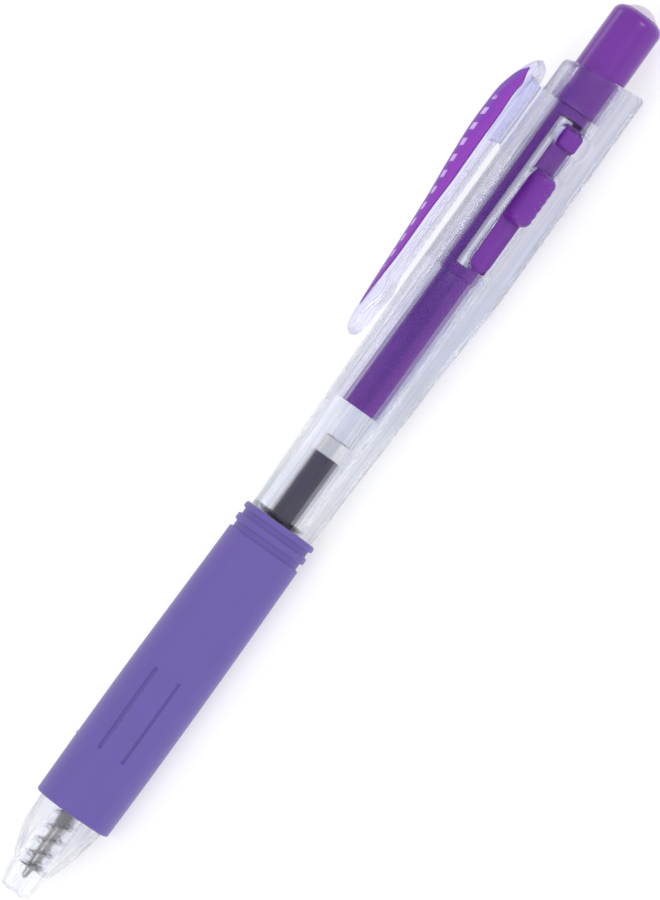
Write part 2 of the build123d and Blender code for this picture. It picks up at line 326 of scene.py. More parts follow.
def hollow_lathe(name, outer, inner, material, columns=96):
    """A tube turned about the pen's axis from outer and inner profiles with as many rows."""
    return shell(name, turned_rings(outer, columns), turned_rings(inner, columns), material)


def arc_profile(x, radius, corner, count):
    """Points of a quarter round that carries a profile from its side at radius to its end at x."""
    t = np.linspace(0, np.pi / 2, count)
    along_arc = x - corner + corner * np.sin(t)
    return list(zip(along_arc, radius - corner + corner * np.cos(t)))


def helix_tube(name, x, radius, angle, wire, material, columns=10):
    """A wire of radius wire along a coil: centre at (x, radius, angle), ring across its run.

    The ring's two axes are the outward direction and the run's direction crossed with it.
    """
    out = np.stack([0 * x, np.cos(angle), np.sin(angle)], -1)
    centre = np.stack([x, 0 * x, 0 * x], -1) + out * radius
    run = np.gradient(centre, axis=0)
    run /= np.linalg.norm(run, axis=1)[:, None]
    side = np.cross(run, out)
    side /= np.linalg.norm(side, axis=1)[:, None]
    t = full_turn(columns)[None, :, None]
    rings = centre[:, None] + wire * (np.cos(t) * out[:, None] + np.sin(t) * side[:, None])
    return solid_of_rings(name, rings, material, 60.0)


def finish_piece(piece, body, node):
    """Ride the body and stand for the CAD node, which is hidden."""
    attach(piece, body)
    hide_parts(node)


# ------------------------------------------------------------------ materials

# How much of what lies behind the clear pieces shows straight through.
BODY_THROUGH = 0.4
CLIP_THROUGH = 0.3
# Metres from the axis over which the clear plastic's tint deepens, and how far that wanders.
TINT_DEPTHS = (0.0045, 0.0066)
DEPTH_WANDER = 0.0006
VIOLET_GLOSS = {"roughness": 0.24, "Coat_Weight": 0.2}
DASHES = 31.0
DASH_SLANT = 1.6
DASH_ROW = 0.36
DASH_COLOUR = (0.72, 0.50, 0.88, 1.0)
DOME_COLOUR = (0.84, 0.74, 0.88)
SPRING_COLOUR = (0.30, 0.30, 0.32)
TUBE_COLOUR = (0.97, 0.97, 0.985)
INK_COLOUR = (0.045, 0.028, 0.085)
FOLLOWER_COLOUR = (0.97, 0.95, 0.90)
HOLDER_COLOUR = (0.36, 0.36, 0.38)
TIP_COLOUR = (0.36, 0.35, 0.34)


class Socket:
    """A shader output that can be used in sums and products, which add Math nodes."""

    def __init__(self, shader, link):
        self.shader = shader
        self.link = link

    def maths(self, operation, first, second):
        """Add a Math node."""
        return self.shader.node("ShaderNodeMath", {"operation": operation}, {0: first, 1: second})

    def __add__(self, other):
        return self.maths("ADD", self, other)

    def __mul__(self, other):
        return self.maths("MULTIPLY", self, other)

    def __sub__(self, other):
        return self.maths("SUBTRACT", self, other)

    def __rsub__(self, other):
        return self.maths("SUBTRACT", other, self)

    __radd__ = __add__
    __rmul__ = __mul__


class Finish:
    """A material with one Principled shader, whose patterns come from node()."""

    def __init__(self, name, **constants):
        self.material = bpy.data.materials.new(name)
        self.material.use_nodes = True
        self.tree = self.material.node_tree
        self.shader = self.tree.nodes["Principled BSDF"]
        for socket, value in constants.items():
            self.shader.inputs[socket.replace("_", " ")].default_value = value

    def node(self, kind, settings=None, inputs=None, output=0):
        """Add a node of a kind: settings first, then the values or links of its sockets."""
        made = self.tree.nodes.new(kind)
        for key, value in (settings or {}).items():
            setattr(made, key, value)
        for key, value in (inputs or {}).items():
            if isinstance(value, Socket):
                self.tree.links.new(value.link, made.inputs[key])
            else:
                made.inputs[key].default_value = value
        return Socket(self, made.outputs[output])

    def feed(self, socket, value):
        """Link a varying value to one of the shader's sockets."""
        self.tree.links.new(value.link, self.shader.inputs[socket])

    def place(self):
        """Object coordinates, in metres."""
        return self.node("ShaderNodeTexCoord", output="Object")

    def depth(self):
        """Distance from the pen's axis, in metres."""
        off_axis = self.node("ShaderNodeVectorMath", {"operation": "MULTIPLY_ADD"},
                             {0: self.place(), 1: (0, 1, 1), 2: (0, -AXIS_Y, -AXIS_Z)})
        return self.node("ShaderNodeVectorMath", {"operation": "LENGTH"}, {0: off_axis}, 1)

    def noise(self, scale, detail=2.0, stretch=(1, 1, 1)):
        """Cloudy values round one half, with features of 1 / (scale * stretch) metres each way."""
        vector = self.node("ShaderNodeMapping", {}, {"Vector": self.place(), "Scale": stretch})
        sockets = {"Vector": vector, "Scale": scale, "Detail": detail}
        return self.node("ShaderNodeTexNoise", {}, sockets)

    def mix(self, factor, first, second):
        """A colour between two, by a factor."""
        sockets = {0: factor, 6: first, 7: second}
        return self.node("ShaderNodeMix", {"data_type": "RGBA"}, sockets, 2)

    def between(self, value, low, high, to_low=0.0, to_high=1.0):
        """A value carried from one range to another and held at its ends."""
        sockets = {0: value, 1: low, 2: high, 3: to_low, 4: to_high}
        return self.node("ShaderNodeMapRange", {"clamp": True}, sockets)

    def bump(self, height, distance, strength=0.5):
        """Relief from a height value, in metres at full height."""
        sockets = {"Height": height, "Distance": distance, "Strength": strength}
        self.feed("Normal", self.node("ShaderNodeBump", {}, sockets))


def opaque(colour):
    """A colour with full alpha."""
    return tuple(colour) + (1.0,)


def tint(colour, factor):
    """A colour made lighter or darker, with full alpha."""
    return tuple(min(1.0, part * factor) for part in colour[:3]) + (1.0,)


def clear_plastic(settings, name, through, deep_colour):
    """Moulded clear plastic that lets a part through of what lies straight behind it.

    Its tint deepens with the distance from the axis, so in the thick corners, and fine lengthwise
    streaks of painted refraction stand in for light that the moulded plastic bends along its edges.
    """
    finish = Finish(name, Transmission_Weight=1.0, IOR=settings.clear_index, Alpha=1.0 - through)
    clouds = finish.noise(90.0, 2.0, (0.4, 1, 1))
    depth = finish.between(finish.depth() + clouds * DEPTH_WANDER, *TINT_DEPTHS)
    body = finish.mix(depth, opaque(settings.clear_colour), opaque(deep_colour))
    # Painted refraction: darker bluish streaks mixed into the base colour, standing in for bent
    # light.
    refraction_streaks = finish.between(finish.noise(850.0, 1.0, (0.02, 1, 1)), 0.54, 0.66)
    finish.feed("Base Color", finish.mix(refraction_streaks, body, opaque(settings.refraction_streak_colour)))
    finish.feed("Roughness", finish.between(clouds, 0.3, 0.7, 0.003, 0.015))
    return finish.material


def gloss_plastic(name, colour, roughness, **constants):
    """Glossy coloured plastic, with slow shifts of colour and gloss."""
    finish = Finish(name, IOR=1.42, **constants)
    clouds = finish.noise(260.0, 3.0)
    finish.feed("Base Color", finish.mix(clouds, tint(colour, 0.93), tint(colour, 1.07)))
    finish.feed("Roughness", finish.between(clouds, 0.25, 0.75, roughness - 0.05, roughness + 0.05))
    finish.bump(finish.noise(1500.0, 2.0), 0.00002, 0.35)
    return finish.material


def grip_rubber(settings):
    """Soft rubber: matt, with a very fine grain and faint darker clouds."""
    finish = Finish("grip_rubber", IOR=1.48, Sheen_Weight=0.25, Sheen_Roughness=0.5)
    clouds = finish.noise(180.0, 4.0)
    colour = settings.grip_colour
    finish.feed("Base Color", finish.mix(clouds, tint(colour, 0.94), tint(colour, 1.06)))
    grain = finish.noise(5200.0, 2.0)
    finish.feed("Roughness", finish.between(grain, 0.3, 0.7, 0.5, 0.66))
    finish.bump(grain, 0.00003, 0.45)
    return finish.material


def leaf_print(settings):
    """Violet leaf, redder along its near edge, with a pale ornament of slanted dashes."""
    finish = Finish("leaf_print", Roughness=0.3, IOR=1.5)
    uv = finish.node("ShaderNodeUVMap", {"uv_map": "leaf"})
    parts = finish.node("ShaderNodeSeparateXYZ", {}, {0: uv})
    run = Socket(finish, parts.link.node.outputs[0])
    side = Socket(finish, parts.link.node.outputs[1])
    clouds = finish.noise(240.0, 2.0, (0.5, 1, 1))
    redder = finish.between(clouds * 0.9 - side, -0.25, 0.35)
    violet = finish.mix(redder, opaque(settings.leaf_colour), opaque(settings.leaf_red))
    slanted = run * DASHES + side * DASH_SLANT
    dash = finish.node("ShaderNodeMath", {"operation": "PINGPONG"}, {0: slanted, 1: 1.0})
    off_middle = finish.node("ShaderNodeMath", {"operation": "ABSOLUTE"}, {0: side - DASH_ROW})
    stroke = finish.between(dash, 0.50, 0.62) * finish.between(off_middle, 0.10, 0.06)
    inside = finish.between(run, 0.14, 0.16) * finish.between(run, 0.86, 0.84)
    finish.feed("Base Color", finish.mix(stroke * inside * 0.7, violet, DASH_COLOUR))
    return finish.material


def metal(name, colour, roughness, stretch):
    """Bright metal with fine drawing or turning marks along or round it."""
    finish = Finish(name, Metallic=1.0)
    marks = finish.noise(2600.0, 3.0, stretch)
    finish.feed("Base Color", finish.mix(marks, tint(colour, 0.88), tint(colour, 1.1)))
    finish.feed("Roughness", finish.between(marks, 0.3, 0.7, roughness - 0.06, roughness + 0.08))
    return finish.material


def clear_tube(name, colour, roughness):
    """Thin clear tube, a little milky."""
    finish = Finish(name, Transmission_Weight=1.0, IOR=1.45)
    clouds = finish.noise(300.0, 2.0)
    finish.feed("Base Color", finish.mix(clouds, tint(colour, 0.97), tint(colour, 1.0)))
    finish.feed("Roughness", finish.between(clouds, 0.3, 0.7, roughness, roughness + 0.04))
    return finish.material


def floor_paint(settings):
    """Pale, even floor with hardly any texture, which gives off a little light by itself."""
    finish = Finish("floor", Roughness=0.9, Emission_Color=(1.0, 1.0, 1.0, 1.0),
                    Emission_Strength=settings.floor_glow)
    clouds = finish.noise(6.0, 2.0)
    colour = settings.floor_colour
    finish.feed("Base Color", finish.mix(clouds, tint(colour, 0.99), tint(colour, 1.0)))
    return finish.material


# ------------------------------------------------------------------ shapes

BARREL_FACE = [(59.5, 4.23), (72.0, 4.60), (85.0, 4.86), (100.0, 4.94), (131.3, 4.94)]
BARREL_CORNER = [(59.5, 3.20), (72.0, 3.50), (85.0, 3.60), (100.0, 3.00), (131.3, 3.00)]
BARREL_BORE = [(48.0, 2.70), (59.5, 2.70), (60.1, 3.55), (74.0, 3.55), (77.0, 3.75),
               (130.9, 3.75), (131.3, 4.0)]
BARREL_ROWS = [(48.0, 59.43, 2.0), (59.44, 59.46, 0.02), (59.5, 61, 0.25), (61, 100, 1.0),
               (100, 117.4, 0.19), (117.4, 119.8, 0.3), (119.8, 124, 0.19), (124, 130.4, 0.6)]
SPIGOT_END = 59.45
SPIGOT_R = 3.35
# Windows and the scoop are (start, end, low side, high side, corner).
WINDOWS = [(100.95, 109.6, -2.15, 2.15, 1.4), (107.6, 116.8, -2.35, 2.35, 0.9),
           (120.3, 123.3, -3.2, 2.5, 0.8)]
SCOOP = (100.45, 116.8, -3.7, 2.5, 2.2)
SCOOP_FLOOR = 4.35
SCOOP_EDGE = 0.45
# Columns lie FINE_COLUMN apart up to SIDE_LIMIT to the side, then share TURN_SPAN round the back.
SIDE_LIMIT = 3.45
FINE_COLUMN = 0.17
TURN_SPAN = 12.0
BACK_COLUMNS = 56
TOP_ROUND = 0.9
TOP_SLANT = 8.0
SLANTED = (124.5, 131.3)


def side_columns():
    """Column values: even steps to each side up to SIDE_LIMIT, then coarser ones to the back."""
    half = np.linspace(0, SIDE_LIMIT, int(round(SIDE_LIMIT / FINE_COLUMN)) + 1)
    back = SIDE_LIMIT + np.linspace(0, TURN_SPAN, BACK_COLUMNS + 1)[1:]
    right = np.concatenate([half, back])
    return np.concatenate([-right[::-1][1:-1], right])


def angle_of_column(u, edge):
    """Angle round the axis of a column: edge up to SIDE_LIMIT, then evenly on to the back."""
    beyond = np.clip((np.abs(u) - SIDE_LIMIT) / TURN_SPAN, 0, 1)
    return np.sign(u) * (edge + (np.pi - edge) * beyond)


def barrel_walls(x, u):
    """Outer and inner surfaces of the barrel at x along the pen and column u.

    The outer one is the rounded triangle, less the rounding at the top and lowered to the scoop's
    floor round the button; the inner one is the bore. Both share the side distance u, so walls
    between them run straight out of the window. Near the top, x moves on by the sine of the slant
    times the distance from the axis, away from the clip.
    """
    column_side = np.minimum(np.abs(u), SIDE_LIMIT)
    past = np.maximum(x - BARREL_FACE[-1][0] + TOP_ROUND, 0)
    inset = TOP_ROUND - np.sqrt(np.maximum(TOP_ROUND**2 - past**2, 0))
    face = curve(BARREL_FACE, x) - inset
    corner = curve(BARREL_CORNER, x) - inset
    edge = np.arctan2(column_side, triangle_height(column_side, face, corner))
    angle = angle_of_column(u, edge)
    radius = triangle_radius(angle, face, corner)
    radius = np.where(x < SPIGOT_END, SPIGOT_R, radius)
    side = radius * np.sin(angle)
    height = radius * np.cos(angle)
    scooped = 1 - smooth_step(-SCOOP_EDGE, SCOOP_EDGE, rounded_box_distance(x, side, SCOOP))
    height = height - scooped * np.maximum(height - SCOOP_FLOOR, 0)
    outer = facing(x, side, height, WINDOW_SIDE)
    bore = along(BARREL_BORE, x)
    widest = np.maximum(bore, SIDE_LIMIT + 0.1)
    inner_angle = angle_of_column(u, np.arcsin(column_side / widest))
    inner = polar(x, bore + 0 * u, inner_angle, WINDOW_SIDE)
    clip_way = radians(CLIP_SIDE)
    for wall in (outer, inner):
        away = -(wall[..., 1] * cos(clip_way) + wall[..., 2] * sin(clip_way))
        wall[..., 0] += smooth_step(*SLANTED, x) * sin(radians(TOP_SLANT)) * away
    return outer, inner


def window_distance(x, u):
    """Signed distance to the nearest window's outline."""
    return nearest_box_distance(x, u, WINDOWS)


FAR_AWAY = 99.0


def holed_grid(rows, columns, distance):
    """Row and column values snapped to a hole's outline, and which cells lie inside it.

    The last column's cell closes the ring and is never in a hole, so its middle is put at FAR_AWAY.
    """
    x, u = np.meshgrid(rows, columns, indexing="ij")
    cell_x = (rows[1:] + rows[:-1])[:, None] / 2 + 0 * columns
    following = np.roll(columns, -1)
    cell_u = np.where(following > columns, (columns + following) / 2, FAR_AWAY) + 0 * cell_x
    hole = distance(cell_x, cell_u) < 0
    x, u = snap_to_outline(x, u, distance, hole)
    return x, u, hole


def make_barrel(material):
    """The clear barrel with its windows."""
    rounding = BARREL_FACE[-1][0] - TOP_ROUND + TOP_ROUND * np.sin(np.linspace(0, np.pi / 2, 9))
    rows = np.unique(np.concatenate([stations(BARREL_ROWS), rounding]))
    x, u, hole = holed_grid(rows, side_columns(), window_distance)
    return shell("clear_barrel", *barrel_walls(x, u), material, hole, 32.0)


CLIP_OUTER = [(84.8, 7.15), (85.2, 7.80), (86.0, 8.15), (88.0, 8.45), (97.4, 8.97),
              (104.8, 9.47), (111.3, 10.12), (117.0, 10.47), (121.5, 10.37), (125.5, 9.45),
              (127.6, 8.5), (128.4, 7.6)]
CLIP_INNER = [(84.8, 7.15), (85.2, 6.65), (86.0, 6.50), (88.8, 6.35), (90.4, 6.0), (91.6, 5.85),
              (92.8, 6.0), (94.5, 6.45), (100.0, 6.45), (125.5, 6.45), (127.4, 6.75), (128.4, 7.6)]
CLIP_HALF = 2.5
CLIP_CROWN = 1.8
CROWNED_HALF = 1.7             # half thickness from which the crown is full
CLIP_POWER = 0.6
CLIP_END = 2.6                 # length at each end with closer rows


def clip_half_width(x):
    """Half width of the clip, which narrows round both ends as a quarter circle does."""
    end = np.minimum(x - CLIP_OUTER[0][0], CLIP_OUTER[-1][0] - x)
    e = np.clip(end, 0, CLIP_HALF)
    return np.sqrt(np.maximum(CLIP_HALF**2 - (CLIP_HALF - e)**2, 0.01))


def clip_section(x):
    """Middle height, half thickness and crown of the clip's section."""
    top = curve(CLIP_OUTER, x)
    bottom = curve(CLIP_INNER, x)
    half_height = np.maximum(top - bottom, 0.06) / 2
    return (top + bottom) / 2, half_height, CLIP_CROWN * np.clip(half_height / CROWNED_HALF, 0, 1)


def clip_surface(x, turn):
    """Points round the clip: a squarish oval in each section, crowned on its outer side.

    The side distance is w sgn(cos t) |cos t|^0.6 and the height is m + h sgn(sin t) |sin t|^0.6,
    less the crown times the square of the side distance over w, on the outer half.
    """
    middle_height, half_height, crown = clip_section(x)
    a = squarish(np.cos(turn), CLIP_POWER)
    b = squarish(np.sin(turn), CLIP_POWER)
    height = middle_height + half_height * b - crown * a**2 * np.maximum(b, 0)
    return facing(x, clip_half_width(x) * a, height, CLIP_SIDE)


def clip_height(x, side):
    """Height of the clip's outer surface at a distance to the side: clip_surface solved for it."""
    middle_height, half_height, crown = clip_section(x)
    a = np.clip(np.abs(side) / clip_half_width(x), 0, 1)
    b = np.sqrt(1 - a**(2 / CLIP_POWER))**CLIP_POWER
    return middle_height + (half_height - crown * a**2) * b


def make_clip(material):
    """The clip's arm, whose rows close up towards both ends as 1 - cos."""
    start, end = CLIP_OUTER[0][0], CLIP_OUTER[-1][0]
    ends = (1 - np.cos(np.linspace(0, np.pi / 2, 10))) * CLIP_END
    between = np.linspace(start + CLIP_END, end - CLIP_END, 72)[1:-1]
    rows = np.concatenate([start + ends, between, (end - ends)[::-1]])
    x, turn = np.meshgrid(rows, full_turn(56), indexing="ij")
    return solid_of_rings("clear_clip", clip_surface(x, turn), material, 50.0)


WEB_LEVELS = (5.05, 7.1)
WEB_MIDDLE = 120.9
WEB_HALF = (4.6, 1.0)
WEB_POWER = 0.35
WEB_FLARE = 0.45
FLARE_HEIGHTS = (0.85, 0.8)    # over which the foot and the head flare


def make_web(material):
    """The web under the clip: an upright rounded block, flared a little where it meets each part.

    The flare grows as the square of the nearness to either end.
    """
    height, turn = np.meshgrid(np.linspace(*WEB_LEVELS, 12), full_turn(48), indexing="ij")
    foot_height, head_height = FLARE_HEIGHTS
    foot = np.clip((WEB_LEVELS[0] + foot_height - height) / foot_height, 0, 1)
    head = np.clip((height - WEB_LEVELS[1] + head_height) / head_height, 0, 1)
    flare = WEB_FLARE * (foot**2 + head**2)
    x = WEB_MIDDLE + (WEB_HALF[0] + flare) * squarish(np.cos(turn), WEB_POWER)
    side = (WEB_HALF[1] + flare) * squarish(np.sin(turn), WEB_POWER)
    return solid_of_rings("clip_web", facing(x, side, height, CLIP_SIDE), material, 50.0)


LEAF_FAR = [(88.8, 0.0), (97.0, 1.2), (107.0, 1.55), (117.0, 1.9), (123.0, 1.3), (126.6, -0.9)]
LEAF_NEAR = [(88.8, 0.0), (97.0, -1.1), (104.0, -1.45), (110.0, -1.9), (118.0, -2.15),
             (124.0, -1.85), (126.6, -0.9)]
LEAF_RAISED = 0.03
LEAF_THICKNESS = 0.25


def add_leaf_uv(piece):
    """A UV map: the share of the leaf's length, and of its width from the near edge."""
    start, end = LEAF_FAR[0][0], LEAF_FAR[-1][0]
    mesh = piece.data
    co = np.empty(len(mesh.vertices) * 3)
    mesh.vertices.foreach_get("co", co)
    co = (co.reshape(-1, 3) - np.array([NOSE, AXIS_Y, AXIS_Z])) / MM
    x = co[:, 0]
    sideways = co[:, 1] * sin(radians(CLIP_SIDE)) - co[:, 2] * cos(radians(CLIP_SIDE))
    near, far = curve(LEAF_NEAR, x), curve(LEAF_FAR, x)
    uv = np.stack([(x - start) / (end - start), (sideways - near) / (far - near + 1e-3)], -1)
    loops = np.empty(len(mesh.loops), int)
    mesh.loops.foreach_get("vertex_index", loops)
    mesh.uv_layers.new(name="leaf").data.foreach_set("uv", uv[loops].ravel())


def make_leaf(material):
    """The leaf: a thin wavy-edged sheet on the clip's outer face, pointed at its ends."""
    start, end = LEAF_FAR[0][0], LEAF_FAR[-1][0]
    rows = (start + end) / 2 - (end - start) / 2 * np.cos(np.linspace(0.03, np.pi - 0.03, 90))
    x, v = np.meshgrid(rows, np.linspace(0, 1, 21), indexing="ij")
    side = curve(LEAF_NEAR, x) * (1 - v) + curve(LEAF_FAR, x) * v
    high = clip_height(x, side) + LEAF_RAISED
    top = facing(x, side, high, CLIP_SIDE)
    under = facing(x, side, high - LEAF_THICKNESS, CLIP_SIDE)
    rings = np.concatenate([top, under[:, ::-1]], axis=1)
    piece = solid_of_rings("leaf_print", rings, material, 50.0)
    add_leaf_uv(piece)
    return piece


PEN_END = 142.0
KNOB_TOP = 140.9
KNOB_R = 3.62
KNOB_SHOULDER = 1.4
DOME_R = 2.34
SLEEVE_R = 3.05
SLEEVE_OUTSIDE = [(77.5, 2.65), (77.6, 2.75), (98.9, 2.75), (99.2, 2.90), (99.25, SLEEVE_R),
                  (125.5, SLEEVE_R), (125.6, 3.55), (125.7, KNOB_R)]
SLEEVE_INSIDE = [(77.5, 2.15), (99.55, 2.15), (99.6, 0.4), (100.4, 0.4), (100.45, 2.45),
                 (138.0, 2.45), (138.2, 2.36)]
PLUNGER_ROWS = [(77.5, 77.6, 0.05), (77.6, 98.9, 2.5), (98.9, 99.3, 0.05), (99.3, 99.5, 0.1),
                (99.55, 99.6, 0.05), (100.4, 100.45, 0.05), (100.5, 124.4, 0.22),
                (124.5, 125.5, 0.5), (125.5, 125.7, 0.05), (125.7, 139.5, 0.9)]
FRONT_OPENING = (100.6, 124.3, -3.02, 3.02, 0.3)
BACK_SLOT = (100.6, 124.3, np.pi * SLEEVE_R - 1.57, np.pi * SLEEVE_R + 1.57, 0.3)


def sleeve_distance(x, u):
    """Signed distance to the sleeve's openings; u runs round its outside from the window."""
    return nearest_box_distance(x, u, (FRONT_OPENING, BACK_SLOT))


def make_plunger(material):
    """Knob and sleeve: a tube with a round-shouldered top, open round the tongue and behind it."""
    shoulder = arc_profile(KNOB_TOP, KNOB_R, KNOB_SHOULDER, 14)
    rim = KNOB_TOP + 0.005
    outside = SLEEVE_OUTSIDE + shoulder + [(rim, DOME_R + 0.19)]
    inside = SLEEVE_INSIDE + [(KNOB_TOP - 0.4, DOME_R + 0.015), (rim, DOME_R + 0.18)]
    shoulder_rows = [x for x, _ in shoulder]
    rows = np.unique(np.concatenate([stations(PLUNGER_ROWS), shoulder_rows, [KNOB_TOP - 0.4, rim]]))
    columns = np.linspace(-np.pi / 2, 1.5 * np.pi, 120, endpoint=False) * SLEEVE_R
    x, u, hole = holed_grid(rows, columns, sleeve_distance)
    outer, inner = (polar(x, along(wall, x), u / SLEEVE_R, WINDOW_SIDE) for wall in (outside, inside))
    return shell("violet_plunger", outer, inner, material, hole, 35.0)


TONGUE = (99.9, 123.6)
TONGUE_HALF = 1.80
TONGUE_R = 3.62
TONGUE_BORE_R = 2.95
PAD = (108.8, 116.7, -1.85, 1.85, 1.2)
PAD_TOP = 6.15
NUB = (120.45, 123.15, -1.55, 1.55, 0.5)
NUB_TOP = 4.42
MARKS = (109.9, 115.6, -1.45, -0.25, 0.4)
MARK_HEIGHT = 0.14
MARK_PITCH = 1.15
MARK_SLANT = 0.55
ROOT_CLIMB = 1.7               # length over which the tongue climbs off the sleeve
SIDE_HELD = 2.0                # the round surfaces are held beyond this distance to the side


def raised(x, side, box, edge):
    """1 well inside a rounded box, falling as a quarter circle over the edge to 0 outside."""
    return quarter_round(np.clip(-rounded_box_distance(x, side, box) / edge, 0, 1))


def button_rows():
    """Stations along the tongue, closer together on the pad and at the ends of pad and nub."""
    dense = [np.linspace(a, a + 1.3, 18) for a in (PAD[0] - 0.03, PAD[1] - 1.27)]
    dense += [np.linspace(a, a + 0.6, 9) for a in (NUB[0] - 0.03, NUB[1] - 0.57)]
    return np.unique(np.concatenate([np.linspace(*TONGUE, 90), np.linspace(*PAD[:2], 60)] + dense))


def button_half_width(rows):
    """Half width of the tongue, rounded at its root and tip and wider beside the pad."""
    root = np.clip((rows - TONGUE[0] - 0.9) / 1.8, 0.1, 1)
    tip = np.clip((TONGUE[1] - rows) / 0.4, 0.1, 1)
    half = TONGUE_HALF * quarter_round(root) * (0.7 + 0.3 * quarter_round(tip))
    return half + (PAD[3] - TONGUE_HALF) * ((rows > PAD[0]) & (rows < PAD[1]))


def round_height(radius, side):
    """Height of a circle over a distance to the side: sqrt(r^2 - s^2), with s held."""
    return np.sqrt(radius**2 - np.minimum(np.abs(side), SIDE_HELD)**2)


def make_button(material):
    """Tongue with its pad and nub, one ring per station along the pen.

    A ring runs over the top from side to side, then back underneath. The top follows the tongue's
    outside, which climbs off the sleeve at the root, and rises on to the pad and the nub inside
    their outlines. Slanted ridges cross one half of the pad.
    """
    rows = button_rows()[:, None]
    v = np.linspace(-1, 1, 41)[None, :]
    side = button_half_width(rows) * np.sign(v) * (1 - (1 - np.abs(v))**1.6)
    foot = SLEEVE_R - 0.1
    climb = foot + (TONGUE_R - foot) * smooth_step(TONGUE[0], TONGUE[0] + ROOT_CLIMB, rows)
    sleeve = round_height(climb, side)
    pad = sleeve + (PAD_TOP - 0.05 * side**2 - sleeve) * raised(rows, side, PAD, 1.1)
    nub = sleeve + (NUB_TOP - sleeve) * raised(rows, side, NUB, 0.35)
    wave = np.cos((rows + MARK_SLANT * side) * 2 * np.pi / MARK_PITCH)
    marks = raised(rows, side, MARKS, 0.3) * smooth_step(0.0, 0.6, wave)
    top = np.maximum(pad, nub) + MARK_HEIGHT * marks
    low_side = side[:, ::-1] * 0.995
    ring_side = np.concatenate([side, low_side], axis=1)
    ring_height = np.concatenate([top, round_height(TONGUE_BORE_R, low_side)], axis=1)
    points = facing(rows + 0 * ring_side, ring_side, ring_height, WINDOW_SIDE)
    return solid_of_rings("violet_button", points, material, 38.0)


NOSE_PROFILE = [(0.0, 1.72), (0.12, 1.95), (0.35, 2.15), (0.9, 2.36), (2.4, 2.54), (4.05, 2.67),
                (4.15, 2.70), (4.25, 2.88), (4.5, 3.02), (6.3, 3.62), (8.5, 4.28),
                (10.6, 4.76), (12.8, 5.06)]
NOSE_FACE = 4.47
NOSE_TAPER = 0.02
NOSE_CORNER = 1.6
NOSE_SHARPNESS = 14.0          # how sharp the edges between the cone and the flats are
NOSE_BASE = 12.8
FRONT_BORE = [(0, 1.25), (0.15, 1.10), (3.68, 1.10), (3.72, 1.75), (18.0, 1.75), (20.0, 2.30),
              (30.4, 2.30), (30.6, 2.65), (47.6, 2.65), (47.7, 3.40), (59.2, 3.40)]
CORE_R = 4.15
CORE_TOP = 59.2
FRONT_ROWS = [(0, 0.4, 0.05), (0.4, 3.6, 0.3), (3.66, 3.74, 0.02), (3.8, 4.6, 0.07),
              (4.6, 12.84, 0.25), (12.84, 12.87, 0.03), (13, 18.0, 2.5), (20.0, 30.3, 5.0),
              (30.4, 30.6, 0.1), (31, 47.5, 3.0), (47.6, 47.7, 0.05), (48, CORE_TOP, 2.0)]


def front_walls(x, angle):
    """Nose and core: a turned profile cut by three flats, then the round core.

    The nose's radius is the soft lesser of cone and flats: -log(exp(-k cone) + exp(-k flats)) / k.
    """
    cone = along(NOSE_PROFILE, x)
    flats = triangle_radius(angle, NOSE_FACE - NOSE_TAPER * (NOSE_BASE - x), NOSE_CORNER)
    k = NOSE_SHARPNESS
    nose = -np.log(np.exp(-k * cone) + np.exp(-k * flats)) / k
    radius = np.where(x <= NOSE_BASE + 0.05, nose, CORE_R)
    return polar(x, radius, angle, WINDOW_SIDE), polar(x, along(FRONT_BORE, x), angle, WINDOW_SIDE)


def make_front(material):
    """The clear nose and the core inside the grip."""
    columns = np.linspace(-np.pi, np.pi, 180, endpoint=False)
    x, angle = np.meshgrid(stations(FRONT_ROWS), columns, indexing="ij")
    return shell("clear_front", *front_walls(x, angle), material, sharp=32.0)


GRIP_FACE = [(12.8, 5.31), (22.0, 5.34), (30.0, 5.32), (45.0, 5.10), (55.5, 4.95), (59.4, 4.95)]
GRIP_CORNER = [(12.8, 4.75), (30.0, 4.60), (45.0, 4.20), (55.5, 4.0), (59.4, 4.0)]
GRIP_NECKS = [(55.5, 56.7), (57.5, 58.6)]
NECK_DEPTH = 0.42
NECK_EDGE = 0.14
GRIP_ROUND = 0.35
GRIP_GROOVE = (22.0, 35.0)
GROOVE_OFFSETS = (-1.8, 1.8)
GROOVE_DEPTH = 0.30
GROOVE_EDGE = (0.12, 0.34)
BEAD_HEIGHT = 0.10
BEAD_EDGE = (0.08, 0.40)
GRIP_ROWS = [(12.8, 13.15, 0.05), (13.15, 21.3, 0.8), (21.3, 22.8, 0.08), (23, 34, 0.7),
             (34.0, 35.4, 0.1), (35.4, 55.3, 1.0), (55.3, 57.0, 0.07), (57.0, 57.3, 0.15),
             (57.3, 58.9, 0.07), (58.9, 59.4, 0.05)]


